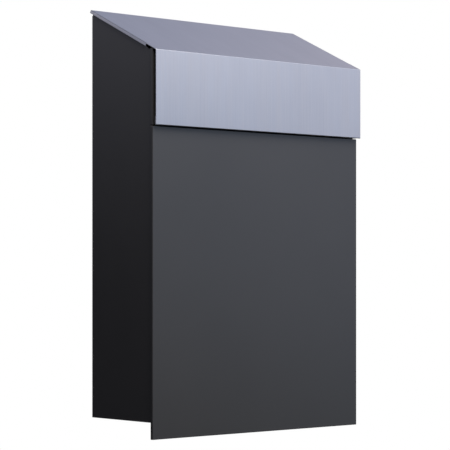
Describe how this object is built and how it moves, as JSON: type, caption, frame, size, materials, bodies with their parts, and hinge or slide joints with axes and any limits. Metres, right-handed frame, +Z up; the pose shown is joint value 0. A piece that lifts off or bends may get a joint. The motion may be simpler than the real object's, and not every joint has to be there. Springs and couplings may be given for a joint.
{
  "type": "wall mounted mailbox",
  "caption": "Tall wall mounted letter box: dark folded steel casing, brushed lid sloping forward with a hanging flap, drop-down front door and a concealed cam lock.",
  "frame": {"origin": "middle of the four wall holes, on the wall's surface", "axes": "+X to the right seen from the front, +Y into the wall, +Z up"},
  "size_m": [0.3106, 0.1183, 0.47],
  "materials": {
    "dark_paint": "fine matt powder coat, dark grey",
    "brushed_stainless": "brushed, grain running down the slope and the flap",
    "zinc_steel": "bright zinc plated steel, satin",
    "black_rubber": "matt",
    "lock_chrome": "polished nickel"
  },
  "bodies": {
    "casing": {"body_shell": "dark_paint", "bottom_panel": "dark_paint", "header_panel": "dark_paint", "header_rivets": "zinc_steel", "slot_panel": "dark_paint", "slot_panel_rivets": "zinc_steel", "lock_shield": "zinc_steel", "shield_rivets": "zinc_steel", "wall_spacers": "black_rubber", "lid_hinge_rail": "zinc_steel", "lid_rail_rivets": "zinc_steel", "lid_hinge_pin": "zinc_steel", "lid_buffers": "black_rubber", "door_hinge_rail": "zinc_steel", "door_rail_rivets": "zinc_steel", "door_hinge_pin": "zinc_steel", "door_stop_buffers": "black_rubber", "lock_housing": "lock_chrome", "lock_gasket": "black_rubber", "lock_nut": "zinc_steel"},
    "lid": {"lid_panel": "brushed_stainless", "lid_hinge_leaf": "brushed_stainless"},
    "door": {"door_panel": "dark_paint", "door_inner_pan": "dark_paint", "door_hinge_leaf": "zinc_steel", "door_catch": "zinc_steel", "catch_rivets": "zinc_steel", "door_buffers": "black_rubber"},
    "lock_barrel": {"lock_plug": "lock_chrome", "lock_cam": "zinc_steel", "cam_bolt": "zinc_steel"}
  },
  "joints": [
    {"name": "lid_hinge", "type": "hinge", "parent": "casing", "child": "lid", "pos_m": [0, -0.00708, 0.21511], "axis": [-1, 0, 0], "range_deg": [0, 95]},
    {"name": "door_hinge", "type": "hinge", "parent": "casing", "child": "door", "pos_m": [0, -0.1077, -0.2345], "axis": [1, 0, 0], "range_deg": [0, 90]},
    {"name": "lock_turn", "type": "hinge", "parent": "casing", "child": "lock_barrel", "pos_m": [0, -0.0936, 0.122], "axis": [0, 1, 0], "range_deg": [0, 90]}
  ]
}
